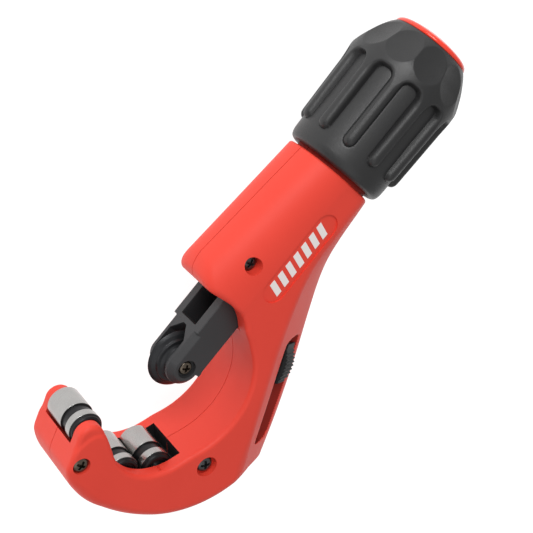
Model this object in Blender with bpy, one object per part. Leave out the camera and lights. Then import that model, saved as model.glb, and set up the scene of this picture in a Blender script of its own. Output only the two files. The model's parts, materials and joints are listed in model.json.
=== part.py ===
"""Bearing pipe cutter lying on its side, near cheek up.

Tool coordinates in millimetres: L runs along the barrel towards the knob and is 0 at the knob's lower rim,
F points out of the jaw's open side, W points to the near cheek and is 0 at the parting plane.
An empty named tool_frame puts them into the world, with X = L, Y = F and Z = W.
"""

import math

import bmesh
import bpy
from mathutils import Matrix, Vector

MM = 0.001
OBJECT_NAME = "pipe_cutter"
FRAME_AT = (43.743, 18.774, 22.194)

# Fits
SEAM = 0.15
PIN_GAP = 0.1
PLAY = 0.3

# Body shells
CHEEK = 15.3
BARREL_R = 16.8
BARREL_TOP = -2.2
BARREL_END = -61.4
FRONT_R = 17.2
FRONT_TAPER = 0.1225
FRONT_POWER = 2.4
EDGE_ROUND = 2.0
NECK_R = 14.8
NECK_TOP = 6.2
FAR_OUT = 45.0
# (L, F of the crease where the back bevel starts, F of the back nose)
BACK_STATIONS = (
    (-2.9, -6.9, -16.8),
    (-16.0, -7.0, -20.4),
    (-31.0, -8.2, -27.3),
    (-46.0, -13.4, -35.7),
    (-61.9, -20.8, -45.0),
    (-82.7, -32.2, -55.9),
    (-107.5, -46.3, -67.2),
    (-150.0, -70.7, -88.0),
)
ROUND_BACK = ((10.0, 0.667), (5.0, 0.923), (2.2, 0.986))
BEVEL_BACK = ((10.0, 0.40), (5.0, 0.778), (2.2, 0.93))
BEVEL_FULL_AT = -44.0

# Jaw
JAW_C = (-94.5, 2.0)
JAW_R = 29.0
SLOT_HALF = 10.15
ROLLER_R = 6.17
ROLLER_HALF = 9.9
ROLLERS = {"tip": (-123.4, 20.95), "middle": (-130.7, -5.4), "rear": (-123.2, -16.5)}
ROLLER_BORE = 4.15
BUSH_R = 4.05
BUSH_IN = 6.6
BUSH_END = 9.3
PIN_R = 1.5
PIN_HALF = 13.1
TIP_SLOT_R = 7.0

# Screws that hold the shells: centre, underside of the head, head radius, counterbore radius
BODY_SCREWS = {
    "upper": ((-44.6, 12.3), 9.6, 2.8, 3.2),
    "rear": ((-112.6, -30.3), 12.5, 2.9, 3.7),
    "tip": ((-133.5, 17.8), 12.9, 3.0, 3.2),
}
SCREW_R = 1.5
SCREW_END = -10.5
HEAD_HIGH = 2.0

# Carriage and feed
CAR_FRONT = 8.3
CAR_BACK = -5.0
CAR_HALF = 8.5
CAR_TOP = -22.0
WHEEL_C = (-87.6, 1.5)
WHEEL_R = 11.0
FORK_HALF = 5.0
NUT_HALF = 6.7
NUT_LENGTH = 8.0
SPINDLE_R = 3.0
SPINDLE_END = -56.0
COLLAR_R = 7.0
JOURNAL_R = 4.2

# Knob and cap
KNOB_RIBS = 11
KNOB_PROFILE = (
    (0.0, 17.8), (0.4, 18.4), (1.6, 18.85), (5.6, 19.1), (8.0, 20.8), (10.5, 21.35), (24.0, 21.9),
    (36.0, 22.25), (40.5, 22.1), (44.0, 21.4), (47.5, 19.9), (51.0, 17.5), (53.6, 15.5),
)
RIB_TURN = math.radians(14.0)
PANEL_R = 19.45
PANEL_HALF = 4.5
PANEL_LOW = 4.6
PANEL_TOP = 36.0
CAP_RIM_R = 15.3
CAP_RIM = 53.9
CAP_TOP = 57.5
STORE_R = 13.6
STORE_FLOOR = 34.0

# Reamer: its slide direction, and the top end of its slot on the near rim
REAM_ANGLE = math.radians(28.8)
REAM_AT = (-57.1, -29.2)
REAM_LENGTH = 45.0


def new_collection(name):
    made = bpy.data.collections.new(name)
    bpy.context.scene.collection.children.link(made)
    return made


def clear_scene():
    for obj in list(bpy.data.objects):
        bpy.data.objects.remove(obj, do_unlink=True)
    for mesh in list(bpy.data.meshes):
        bpy.data.meshes.remove(mesh)


def material(name, colour, metallic, roughness):
    made = bpy.data.materials.new(name)
    made.use_nodes = True
    shader = made.node_tree.nodes["Principled BSDF"]
    shader.inputs["Base Color"].default_value = (*colour, 1.0)
    shader.inputs["Metallic"].default_value = metallic
    shader.inputs["Roughness"].default_value = roughness
    return made


clear_scene()
PARTS = new_collection(OBJECT_NAME)
CUTTERS = new_collection("cutters")
CUTTERS.hide_render = True
FRAME = bpy.data.objects.new("tool_frame", None)
FRAME.location = Vector(FRAME_AT) * MM
PARTS.objects.link(FRAME)

RED = ((0.70, 0.035, 0.02), 0.0, 0.42)
CHARCOAL = ((0.03, 0.03, 0.033), 0.0, 0.5)
STEEL = ((0.55, 0.55, 0.56), 1.0, 0.3)
BLACK_STEEL = ((0.02, 0.02, 0.022), 0.8, 0.4)
BRASS = ((0.60, 0.42, 0.16), 1.0, 0.35)


def place(name, bm, at, colour, smooth):
    """The mesh as an object whose origin is at the tool point `at`."""
    bmesh.ops.translate(bm, verts=bm.verts, vec=-Vector(at))
    bmesh.ops.scale(bm, verts=bm.verts, vec=(MM, MM, MM))
    bmesh.ops.recalc_face_normals(bm, faces=bm.faces)
    for face in bm.faces:
        face.smooth = smooth
    mesh = bpy.data.meshes.new(name)
    bm.to_mesh(mesh)
    bm.free()
    obj = bpy.data.objects.new(name, mesh)
    obj.parent = FRAME
    obj.location = Vector(at) * MM
    if colour is None:
        CUTTERS.objects.link(obj)
        obj.hide_render = True
        obj.display_type = "WIRE"
        return obj
    PARTS.objects.link(obj)
    mesh.materials.append(material(name, *colour))
    return obj


def boolean(target, cutter, operation="DIFFERENCE"):
    modifier = target.modifiers.new(cutter.name, "BOOLEAN")
    modifier.solver = "EXACT"
    modifier.operation = operation
    modifier.object = cutter


def loop_mesh(points):
    bm = bmesh.new()
    return bm, [bm.verts.new(point) for point in points]


def prism_bm(outline, low, high):
    """A solid from an outline in L and F, from W = low to W = high."""
    bm, verts = loop_mesh([(x, y, low) for x, y in outline])
    made = bmesh.ops.extrude_face_region(bm, geom=[bm.faces.new(verts)])
    raised = [item for item in made["geom"] if isinstance(item, bmesh.types.BMVert)]
    bmesh.ops.translate(bm, verts=raised, vec=(0, 0, high - low))
    return bm


def box_bm(low, high):
    bm = bmesh.new()
    bmesh.ops.create_cube(bm, size=1.0)
    size = Vector(high) - Vector(low)
    middle = (Vector(high) + Vector(low)) / 2
    bmesh.ops.scale(bm, verts=bm.verts, vec=size)
    bmesh.ops.translate(bm, verts=bm.verts, vec=middle)
    return bm


def spin_bm(profile, at, axis, steps=24):
    """A solid of revolution from (along the axis, radius) points. It is a ring where no point is on the axis."""
    along = Vector(axis)
    out = along.orthogonal().normalized()
    bm, verts = loop_mesh([Vector(at) + along * a + out * r for a, r in profile])
    closed = all(r > 0 for _, r in profile)
    pairs = list(zip(verts, verts[1:]))
    if closed:
        pairs.append((verts[-1], verts[0]))
    edges = [bm.edges.new(pair) for pair in pairs]
    bmesh.ops.spin(
        bm, geom=verts + edges, cent=at, axis=along, angle=math.tau, steps=steps, use_merge=True
    )
    bmesh.ops.remove_doubles(bm, verts=bm.verts, dist=1e-4)
    return bm


def cylinder_bm(radius, low, high, at, axis, steps=18):
    return spin_bm(((low, 0), (low, radius), (high, radius), (high, 0)), at, axis, steps)


def ring_profile(inner, outer, low, high, edge=0.0):
    """A ring's section, with its two outer edges chamfered by `edge`."""
    points = [(low, inner), (low, outer - edge)]
    if edge:
        points.append((low + edge, outer))
        points.append((high - edge, outer))
    else:
        points.append((high, outer))
    points += [(high, outer - edge)] if edge else []
    return points + [(high, inner)]


def ring(name, inner, outer, low, high, at, axis, colour, edge=0.0, steps=20):
    bm = spin_bm(ring_profile(inner, outer, low, high, edge), at, axis, steps)
    return place(name, bm, at, colour, True)


def hole(name, radius, low, high, at, axis=(0, 0, 1), steps=18):
    return place(name, cylinder_bm(radius, low, high, at, axis, steps), at, None, False)


def arc(first, through, last, steps):
    """Points on the circle through three points, without the last one."""
    (ax, ay), (bx, by), (cx, cy) = first, through, last
    d = 2 * (ax * (by - cy) + bx * (cy - ay) + cx * (ay - by))
    a2, b2, c2 = ax * ax + ay * ay, bx * bx + by * by, cx * cx + cy * cy
    ux = (a2 * (by - cy) + b2 * (cy - ay) + c2 * (ay - by)) / d
    uy = (a2 * (cx - bx) + b2 * (ax - cx) + c2 * (bx - ax)) / d
    radius = math.hypot(ax - ux, ay - uy)
    start, middle, end = (math.atan2(y - uy, x - ux) for x, y in (first, through, last))
    sweep = (end - start) % math.tau
    if (middle - start) % math.tau > sweep:
        sweep -= math.tau
    turns = [start + sweep * i / steps for i in range(steps)]
    return [(ux + radius * math.cos(t), uy + radius * math.sin(t)) for t in turns]


def circle(at, radius, steps):
    turns = [math.tau * i / steps for i in range(steps)]
    return [(at[0] + radius * math.cos(t), at[1] + radius * math.sin(t)) for t in turns]


def stadium(low, high, half, steps=8):
    """A slot outline along L from low to high, with round ends, about F = 0."""
    points = []
    for end, turn in ((high - half, -math.pi / 2), (low + half, math.pi / 2)):
        for i in range(steps + 1):
            t = turn + math.pi * i / steps
            points.append((end + half * math.cos(t), half * math.sin(t)))
    return points


# Body shells


def front_at(length):
    return FRONT_R - FRONT_TAPER * min(0.0, length)


def back_shape(length):
    share = min(1.0, max(0.0, (BARREL_TOP - length) / (BARREL_TOP - BEVEL_FULL_AT)))
    return [(w, a + (b - a) * share) for (w, a), (_, b) in zip(ROUND_BACK, BEVEL_BACK)]


def section(length, crease, nose, open_front, inset):
    """One half section in F and W, from the front of the seam over the cheek to the back of the seam."""
    top = CHEEK + 0.1
    points = []
    reach = front_at(length)
    for i in range(8):
        t = math.radians(3 + 87 * i / 7)
        f = reach * math.cos(t) ** (2 / FRONT_POWER)
        w = top * math.sin(t) ** (2 / FRONT_POWER)
        points.append((FAR_OUT, w * 1.1) if open_front and i < 7 else (f, w))
    points[0] = (FAR_OUT if open_front else reach, SEAM)
    points.append((crease, top))
    for w, share in back_shape(length):
        points.append((crease + (nose - crease) * share, w))
    points.append((nose, SEAM))
    scale = 1 - inset / BARREL_R
    return [(f * scale, max(SEAM, w * scale)) for f, w in points]


def stations():
    """(L, crease, nose, whether the front is left open, inset) down the body."""
    first = BACK_STATIONS[0]
    found = [(BARREL_TOP, first[1], first[2], False, 0.7), (*first, False, 0.0)]
    for station in BACK_STATIONS[1:]:
        length, crease, nose = station
        if found[-1][0] > BARREL_END > length:
            before = found[-1]
            share = (BARREL_END - before[0]) / (length - before[0])
            at_end = [before[k] + (station[k] - before[k]) * share for k in (1, 2)]
            found.append((BARREL_END, *at_end, False, 0.0))
            found.append((BARREL_END - 0.1, *at_end, True, 0.0))
        found.append((*station, length < BARREL_END, 0.0))
    return found


def envelope(name, side):
    """The body's shape without its side outline: a loft down L, one half of it."""
    bm = bmesh.new()
    rings = []
    for length, *shape in stations():
        points = section(length, *shape)
        rings.append([bm.verts.new((length, f, side * w)) for f, w in points])
    count = len(rings[0])
    for upper, lower in zip(rings, rings[1:]):
        for i in range(count):
            j = (i + 1) % count
            bm.faces.new((upper[i], upper[j], lower[j], lower[i]))
    bm.faces.new(rings[0])
    bm.faces.new(rings[-1])
    bmesh.ops.triangulate(bm, faces=bm.faces)
    return place(name, bm, (0, 0, 0), RED, False)


def side_outline():
    """The body seen from its cheek: outer curve, tip, ear, jaw and the barrel's lower end."""
    points = [(5.0, -80.0), (-95.0, -80.0), (-100.9, -66.5), (-105.2, -58.1)]
    points += arc((-107.2, -54.4), (-109.3, -52.0), (-112.0, -50.4), 3)
    points += arc((-112.0, -50.4), (-126.9, -42.1), (-138.4, -27.1), 8)
    points += arc((-138.4, -27.1), (-142.9, -16.0), (-144.7, -4.0), 4)
    points += arc((-144.7, -4.0), (-144.8, 4.0), (-143.2, 11.2), 3)
    points += arc((-143.2, 11.2), (-140.6, 17.4), (-137.6, 21.2), 2)
    points += [(-137.6, 21.2), (-135.3, 22.4), (-129.5, 24.6)]
    points += arc((-127.0, 25.5), (-119.6, 24.4), (-119.4, 18.9), 6)
    points += arc((-119.4, 18.9), (-121.6, 14.6), (-124.6, 9.6), 2)
    points += arc((-124.6, 9.6), (-128.2, -1.5), (-122.5, -14.6), 7)
    points += arc((-120.4, -16.6), (-116.0, -19.2), (-110.4, -21.6), 2)
    angles = [math.radians(236 + 90 * i / 11) for i in range(12)]
    points += [(JAW_C[0] + JAW_R * math.cos(t), JAW_C[1] + JAW_R * math.sin(t)) for t in angles]
    points += [(-66.6, -8.0), (-65.0, -4.6), (-62.3, -1.0), (-60.4, 3.0), (-59.8, 9.0)]
    points += arc((-60.8, 17.4), (-58.8, 21.4), (-55.0, 23.8), 4)
    points += [(-54.0, 24.2), (5.0, 20.0)]
    return points


def plate(name, side):
    """The side outline as a plate, its edge on the cheek rounded."""
    bm = prism_bm(side_outline(), -1.0, CHEEK)
    rim = [e for e in bm.edges if all(v.co.z > CHEEK - 0.01 for v in e.verts)]
    bmesh.ops.bevel(
        bm, geom=rim, offset=EDGE_ROUND, segments=3, profile=0.5, affect="EDGES", clamp_overlap=True
    )
    if side < 0:
        bmesh.ops.scale(bm, verts=bm.verts, vec=(1, 1, -1))
    return place(name, bm, (0, 0, 0), None, False)


def neck(name, side):
    bm = cylinder_bm(NECK_R, BARREL_TOP - 1.5, NECK_TOP, (0, 0, 0), (1, 0, 0), 48)
    cut = Vector((0, 0, side * SEAM))
    bmesh.ops.bisect_plane(
        bm, geom=bm.verts[:] + bm.edges[:] + bm.faces[:], plane_co=cut,
        plane_no=(0, 0, -side), clear_outer=True,
    )
    bmesh.ops.holes_fill(bm, edges=[e for e in bm.edges if e.is_boundary])
    return place(name, bm, (0, 0, 0), None, False)


def ream_point(along, out):
    """A tool point in L and F from a distance down the reamer's slot and one out of the back."""
    c, s = math.cos(REAM_ANGLE), math.sin(REAM_ANGLE)
    return REAM_AT[0] - c * along + s * out, REAM_AT[1] - s * along - c * out


def ream_prism(name, corners, low, high, colour=None):
    outline = [ream_point(along, out) for along, out in corners]
    return place(name, prism_bm(outline, low, high), (*ream_point(0, 0), 0), colour, False)


def shared_cutters():
    """Hollows that reach into both shells."""
    found = [
        place("cut_channel", box_bm((-72, -5.9, -8.9), (-5, 8.9, 8.9)), (0, 0, 0), None, False),
        place("cut_wheel_slot", box_bm((-72, -10.6, -2.9), (-57, 13.2, 2.9)), (0, 0, 0), None, False),
        hole("cut_collar", 9.3, -1.6, 4.7, (0, 0, 0), (1, 0, 0), 32),
        hole("cut_spindle", 3.6, -8.0, 2.0, (0, 0, 0), (1, 0, 0)),
        hole("cut_journal", 4.7, 3.0, 9.0, (0, 0, 0), (1, 0, 0)),
        place("cut_pocket", prism_bm(pocket_outline(), -SLOT_HALF, SLOT_HALF), (0, 0, 0), None, False),
        place("cut_tip", prism_bm(tip_outline(), -SLOT_HALF, SLOT_HALF), (0, 0, 0), None, False),
    ]
    for key, at in ROLLERS.items():
        reach = PIN_HALF + PLAY
        found.append(hole("cut_pin_" + key, PIN_R + PIN_GAP, -reach, reach, (*at, 0)))
    for key, (at, _, _, _) in BODY_SCREWS.items():
        found.append(hole("cut_screw_" + key, SCREW_R + PIN_GAP, SCREW_END - 1, 14.5, (*at, 0)))
    return found


def pocket_outline():
    """The pocket behind the two inner rollers, open to the jaw."""
    points = [(-108.6, -13.7), (-118.7, -25.0)]
    points += arc((-123.4, -25.2), (-127.5, -23.0), (-129.9, -20.0), 3)
    points += arc((-137.0, -9.8), (-138.2, -5.0), (-135.4, 1.2), 4)
    return points + [(-133.5, 2.6), (-119.0, 10.0)]


def tip_outline():
    """The slot between the ears: half round behind the tip roller, then open."""
    l, f = ROLLERS["tip"]
    points = arc((l, f - TIP_SLOT_R), (l - TIP_SLOT_R, f), (l, f + TIP_SLOT_R), 8)
    return points + [(l, f + TIP_SLOT_R), (l + 14, f + TIP_SLOT_R), (l + 14, f - TIP_SLOT_R - 3)]


def recess(name, side):
    outline = [(x, y - 1.2) for x, y in stadium(-51.5, -13.8, 5.0)]
    low, high = sorted((side * (CHEEK - 0.6), side * (CHEEK + 2)))
    return place(name, prism_bm(outline, low, high), (0, 0, 0), None, False)


def near_cutters():
    found = [recess("cut_recess_near", 1)]
    for key, (at, seat, _, bore) in BODY_SCREWS.items():
        found.append(hole("cut_bore_" + key, bore, seat, CHEEK + 4, (*at, 0)))
    slot = [(2, -6), (0, -2), (0, 26), (REAM_LENGTH, 26), (REAM_LENGTH, -1.2), (64, -1.2), (64, -6)]
    found.append(ream_prism("cut_reamer", slot, -1.0, 8.0))
    rim = [(0.6, 0.8), (0.6, 26), (REAM_LENGTH - 0.6, 26), (REAM_LENGTH - 0.6, 0.8)]
    found.append(ream_prism("cut_reamer_rim", rim, 7.0, 10.4))
    return found


def shell(name, side, cutters):
    body = envelope(name, side)
    boolean(body, plate(name + "_plate", side), "INTERSECT")
    boolean(body, neck(name + "_neck", side), "UNION")
    for cutter in cutters:
        boolean(body, cutter)
    return body


def cross_bm(at, top, arm, thick, deep):
    """The driver recess of a screw head, two crossed bars."""
    bm = box_bm((at[0] - arm, at[1] - thick, top - deep), (at[0] + arm, at[1] + thick, top + 1))
    other = box_bm((at[0] - thick, at[1] - arm, top - deep), (at[0] + thick, at[1] + arm, top + 1))
    return bm, other


def screw(name, at, seat, head_r, head_high, end, radius=SCREW_R):
    """A pan-head screw along W with its head up, its origin on its axis."""
    top = seat + head_high
    profile = (
        (end, 0), (end, radius - 0.4), (end + 0.4, radius), (seat + 0.05, radius), (seat + 0.05, head_r),
        (seat + 0.6 * head_high, head_r), (seat + 0.9 * head_high, 0.75 * head_r), (top, 0.45 * head_r), (top, 0),
    )
    obj = place(name, spin_bm(profile, (*at, 0), (0, 0, 1), 18), (*at, 0), BLACK_STEEL, True)
    bars = cross_bm(at, top, 0.58 * head_r, 0.16 * head_r, 0.55 * head_high)
    for i, bm in enumerate(bars):
        boolean(obj, place(f"{name}_bar_{i}", bm, (*at, 0), None, False))
    return obj


def rollers():
    for key, at in ROLLERS.items():
        centre = (*at, 0)
        end, edge, groove = ROLLER_HALF, 0.5, 0.7
        profile = (
            (-end, ROLLER_BORE), (-end, ROLLER_R - edge), (-end + edge, ROLLER_R), (1.4, ROLLER_R),
            (1.7, ROLLER_R - groove), (4.95, ROLLER_R - groove), (5.25, ROLLER_R), (8.3, ROLLER_R),
            (8.6, ROLLER_R - 0.35), (end - 0.5, ROLLER_R - 0.6), (end, ROLLER_R - 1.1), (end, ROLLER_BORE),
        )
        place("roller_" + key, spin_bm(profile, centre, (0, 0, 1), 28), centre, STEEL, True)
        for side, low in (("near", BUSH_IN), ("far", -BUSH_END)):
            name = f"roller_bush_{key}_{side}"
            high = low + BUSH_END - BUSH_IN
            ring(name, PIN_R + PIN_GAP, BUSH_R, low, high, centre, (0, 0, 1), BLACK_STEEL)
        pin = ((-PIN_HALF, 0), (-PIN_HALF, PIN_R - 0.3), (-PIN_HALF + 0.3, PIN_R))
        pin += tuple((-a, r) for a, r in reversed(pin))
        bm = spin_bm(pin, centre, (0, 0, 1), 16)
        place("roller_pin_" + key, bm, centre, STEEL, True)


# Carriage, wheel and feed


def carriage_outline():
    """The carriage seen from the cheek: a bar with a round nose about the wheel axle."""
    nose_r = WHEEL_C[1] - CAR_BACK
    points = [(CAR_TOP, CAR_BACK)]
    points += arc((WHEEL_C[0], CAR_BACK), (WHEEL_C[0] - nose_r, WHEEL_C[1]), (WHEEL_C[0], 2 * WHEEL_C[1] - CAR_BACK), 10)
    return points + [(WHEEL_C[0], 7.9), (-78.0, CAR_FRONT), (CAR_TOP, CAR_FRONT)]


def carriage():
    at = (0, 0, 0)
    body = place("carriage", prism_bm(carriage_outline(), -CAR_HALF, CAR_HALF), at, CHARCOAL, False)
    fork = [(-75.6, 1.0), (-80.4, FORK_HALF), (-100, FORK_HALF), (-100, -FORK_HALF), (-80.4, -FORK_HALF), (-75.6, -1.0)]
    bm, verts = loop_mesh([(l, -20, w) for l, w in fork])
    made = bmesh.ops.extrude_face_region(bm, geom=[bm.faces.new(verts)])
    raised = [item for item in made["geom"] if isinstance(item, bmesh.types.BMVert)]
    bmesh.ops.translate(bm, verts=raised, vec=(0, 40, 0))
    boolean(body, place("cut_fork", bm, at, None, False))
    boolean(body, place("cut_window", box_bm((-73.5, -3.6, -4.6), (-63.4, 12, 4.6)), at, None, False))
    boolean(body, hole("cut_feed", 3.6, -70, -10, at, (1, 0, 0)))
    nut_low = CAR_TOP - NUT_LENGTH - 1
    nut_pocket = box_bm((nut_low, -8, -NUT_HALF - PIN_GAP), (CAR_TOP - 1, 12, NUT_HALF + PIN_GAP))
    boolean(body, place("cut_nut", nut_pocket, at, None, False))
    boolean(body, hole("cut_axle", SCREW_R + PIN_GAP, -8.2, 12, (*WHEEL_C, 0)))
    boolean(body, hole("cut_axle_head", 3.5, 6.9, 12, (*WHEEL_C, 0)))
    screw("wheel_axle_screw", WHEEL_C, 6.95, 2.6, 1.1, -8.0)


def feed_nut():
    low, high = CAR_TOP - NUT_LENGTH - 0.9, CAR_TOP - 1.1
    bm = box_bm((low, CAR_BACK + 0.2, -NUT_HALF), (high, CAR_FRONT - 0.2, NUT_HALF))
    body = place("feed_nut", bm, (0, 0, 0), BRASS, False)
    boolean(body, hole("cut_nut_bore", SPINDLE_R + PIN_GAP, low - 2, high + 2, (0, 0, 0), (1, 0, 0)))


def wheel_profile():
    half = (
        (4.5, 4.6), (4.5, 6.2), (2.6, 6.6), (1.0, 10.0), (0.08, WHEEL_R),
    )
    return [(-a, r) for a, r in half] + [(a, r) for a, r in reversed(half)]


def cage(name, at, axis, along):
    """The ball cage: a thin ring with the balls in it."""
    body = ring(name, 3.08, 3.42, along - 0.7, along + 0.7, at, axis, BRASS)
    turn = Vector((0, 0, 1)).rotation_difference(Vector(axis)).to_matrix().to_4x4()
    for i in range(7):
        t = math.tau * i / 7
        bm = bmesh.new()
        bmesh.ops.create_icosphere(bm, subdivisions=1, radius=0.46)
        bmesh.ops.translate(bm, verts=bm.verts, vec=(3.25 * math.cos(t), 3.25 * math.sin(t), along))
        bmesh.ops.transform(bm, verts=bm.verts, matrix=Matrix.Translation(at) @ turn)
        boolean(body, place(f"{name}_ball_{i}", bm, at, None, False), "UNION")


def wheel_set(names, at, axis, along):
    """A cutting wheel with its ball bearing, centred a distance `along` the axis from `at`."""
    wheel, outer, balls, inner = names
    profile = [(a + along, r) for a, r in wheel_profile()]
    place(wheel, spin_bm(profile, at, axis, 40), at, BLACK_STEEL, True)
    ring(outer, 3.75, 4.5, along - 2.4, along + 2.4, at, axis, STEEL)
    cage(balls, at, axis, along)
    ring(inner, PIN_R + PIN_GAP, 2.75, along - 2.4, along + 2.4, at, axis, STEEL)


def wheel():
    at = (*WHEEL_C, 0)
    names = ("cutting_wheel", "wheel_bearing_outer", "wheel_bearing_cage", "wheel_bearing_inner")
    wheel_set(names, at, (0, 0, 1), 0.0)
    for side, low in (("near", 2.5), ("far", -4.9)):
        ring("wheel_spacer_" + side, PIN_R + PIN_GAP, 2.7, low, low + 2.4, at, (0, 0, 1), STEEL)


def spindle():
    axis, at = (1, 0, 0), (0, 0, 0)
    profile = (
        (SPINDLE_END, 0), (SPINDLE_END, SPINDLE_R - 0.6), (SPINDLE_END + 0.6, SPINDLE_R), (0.2, SPINDLE_R),
        (0.2, COLLAR_R), (2.8, COLLAR_R), (2.8, JOURNAL_R), (31.4, JOURNAL_R), (32.0, JOURNAL_R - 0.6),
        (32.0, 1.7), (24.0, 1.7), (24.0, 0),
    )
    place("feed_spindle", spin_bm(profile, at, axis, 20), at, STEEL, True)
    ring("thrust_washer_lower", 3.4, 8.9, -1.4, -0.1, at, axis, BRASS)
    ring("thrust_washer_upper", JOURNAL_R + PIN_GAP, 8.9, 3.1, 4.4, at, axis, BRASS)


# Knob and cap


def panel_bm(turn):
    """One recess between two ribs: a flat-bottomed slot with an arched top, reaching out of the knob."""
    half = PANEL_HALF
    points = [(PANEL_LOW, -half + 1.4), (PANEL_LOW + 3, -half)]
    arch = [math.radians(-90 + 180 * i / 6) for i in range(7)]
    points += [(PANEL_TOP - half + half * math.cos(t), half * math.sin(t)) for t in arch]
    points += [(PANEL_LOW + 3, half), (PANEL_LOW, half - 1.4)]
    bm = prism_bm(points, PANEL_R, PANEL_R + 5)
    bmesh.ops.rotate(bm, verts=bm.verts, cent=(0, 0, 0), matrix=Matrix.Rotation(-turn, 3, "X"))
    return bm


def scallop_bm(turn):
    bm = bmesh.new()
    bmesh.ops.create_uvsphere(bm, u_segments=8, v_segments=6, radius=1.0)
    bmesh.ops.scale(bm, verts=bm.verts, vec=(7.5, 5.0, 2.6))
    bmesh.ops.rotate(bm, verts=bm.verts, cent=(0, 0, 0), matrix=Matrix.Rotation(math.radians(14), 3, "Y"))
    bmesh.ops.translate(bm, verts=bm.verts, vec=(45.8, 0, 22.4))
    bmesh.ops.rotate(bm, verts=bm.verts, cent=(0, 0, 0), matrix=Matrix.Rotation(-turn, 3, "X"))
    return bm


def knob():
    axis, at = (1, 0, 0), (0, 0, 0)
    inside = (
        (CAP_RIM - 0.3, STORE_R + 0.6), (STORE_FLOOR, STORE_R), (STORE_FLOOR, JOURNAL_R + PIN_GAP),
        (NECK_TOP + 0.9, JOURNAL_R + PIN_GAP), (NECK_TOP + 0.9, NECK_R + 0.5), (0.0, NECK_R + 0.5),
    )
    bm = spin_bm(KNOB_PROFILE + inside, at, axis, 44)
    body = place("knob", bm, at, CHARCOAL, True)
    for i in range(KNOB_RIBS):
        turn = RIB_TURN + math.tau * (i + 0.5) / KNOB_RIBS
        boolean(body, place(f"cut_panel_{i}", panel_bm(turn), at, None, False))
        boolean(body, place(f"cut_scallop_{i}", scallop_bm(turn), at, None, False))
    ring("knob_washer", 1.7, 6.5, STORE_FLOOR + 0.2, STORE_FLOOR + 1.2, at, axis, STEEL)
    low = STORE_FLOOR + 1.4
    profile = (
        (25.0, 0), (25.0, 1.2), (25.4, SCREW_R), (low, SCREW_R), (low, 3.2), (low + 1.2, 3.2), (low + 2.0, 2.4),
        (low + 2.0, 1.2), (low + 1.0, 0.9), (low + 1.0, 0),
    )
    place("knob_screw", spin_bm(profile, at, axis, 18), at, BLACK_STEEL, True)


def cap():
    axis, at = (1, 0, 0), (0, 0, 0)
    inner = CAP_RIM + 1.0
    dome = [(CAP_RIM + 0.9 + 2.7 * math.sin(t), 11.2 + 4.1 * math.cos(t)) for t in (0, 0.5, 1.0, math.pi / 2)]
    profile = [
        (39.5, 0), (39.5, 1.3), (39.8, SCREW_R), (50.3, SCREW_R), (50.3, 2.6), (inner, 2.6), (inner, 12.2),
        (45.0, 12.4), (45.0, 13.1), (CAP_RIM, 13.3), (CAP_RIM, CAP_RIM_R), *dome, (CAP_TOP, 0),
    ]
    place("end_cap", spin_bm(profile, at, axis, 36), at, RED, True)
    names = ("spare_wheel", "spare_bearing_outer", "spare_bearing_cage", "spare_bearing_inner")
    wheel_set(names, at, axis, 44.9)


# Reamer


def reamer():
    pad = [(6.05, -1.6), (20.35, -1.6), (20.35, 0.9), (18.6, 1.5), (13.2, 1.9), (7.8, 1.5), (6.05, 0.9)]
    bar = [(6.2, -5.6), (32.0, -5.6), (32.0, -1.3), (6.2, -1.3)]
    body = ream_prism("reamer_slider", pad, 0.6, 7.6, CHARCOAL)
    boolean(body, ream_prism("reamer_bar", bar, 0.7, 4.6), "UNION")
    back = [(7.0, 0.5), (19.4, 0.5), (19.4, 9.8), (13.2, 10.4), (7.0, 9.8)]
    boolean(body, ream_prism("reamer_back", back, 0.75, 4.2), "UNION")
    for i in range(6):
        along = 8.2 + 2.2 * i
        groove = [(along, 0.9), (along + 0.8, 0.9), (along + 0.8, 3), (along, 3)]
        boolean(body, ream_prism(f"cut_pad_{i}", groove, 4.4, 9.0))
    blade = [(23.0, -5.3), (52.0, -5.3), (56.5, -3.5), (50.0, -1.9), (23.0, -1.9)]
    plate_part = ream_prism("reamer_blade", blade, 4.8, 6.0, STEEL)
    at = (*ream_point(27.5, -3.6), 0)
    pin = hole("cut_rivet", 1.0, 2.0, 9.0, at)
    boolean(body, pin)
    boolean(plate_part, pin)
    profile = ((2.2, 0), (2.2, 0.9), (6.15, 0.9), (6.15, 1.6), (6.7, 1.5), (7.1, 0.9), (7.1, 0))
    place("reamer_rivet", spin_bm(profile, at, (0, 0, 1), 16), at, STEEL, True)


def build():
    both = shared_cutters()
    shell("body_shell_near", 1, both + near_cutters())
    shell("body_shell_far", -1, both + [recess("cut_recess_far", -1)])
    for key, (at, seat, head_r, _) in BODY_SCREWS.items():
        screw("body_screw_" + key, at, seat, head_r, HEAD_HIGH, SCREW_END)
    rollers()
    carriage()
    feed_nut()
    wheel()
    spindle()
    knob()
    cap()
    reamer()


build()
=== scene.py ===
"""Looks of the pipe cutter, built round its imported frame.

Shapes are worked out in the tool's own millimetres. x runs along the barrel's axis towards the knob, from 0 at
the centre of the knob's joint. y runs out of the jaw's open side, from 0 on that axis. z, called w where a
shape is mirrored, runs towards the near cheek, from 0 at the parting plane.
"""

import json
import math

import bmesh
import bpy
import numpy as np
from mathutils import Matrix, Vector


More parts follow.
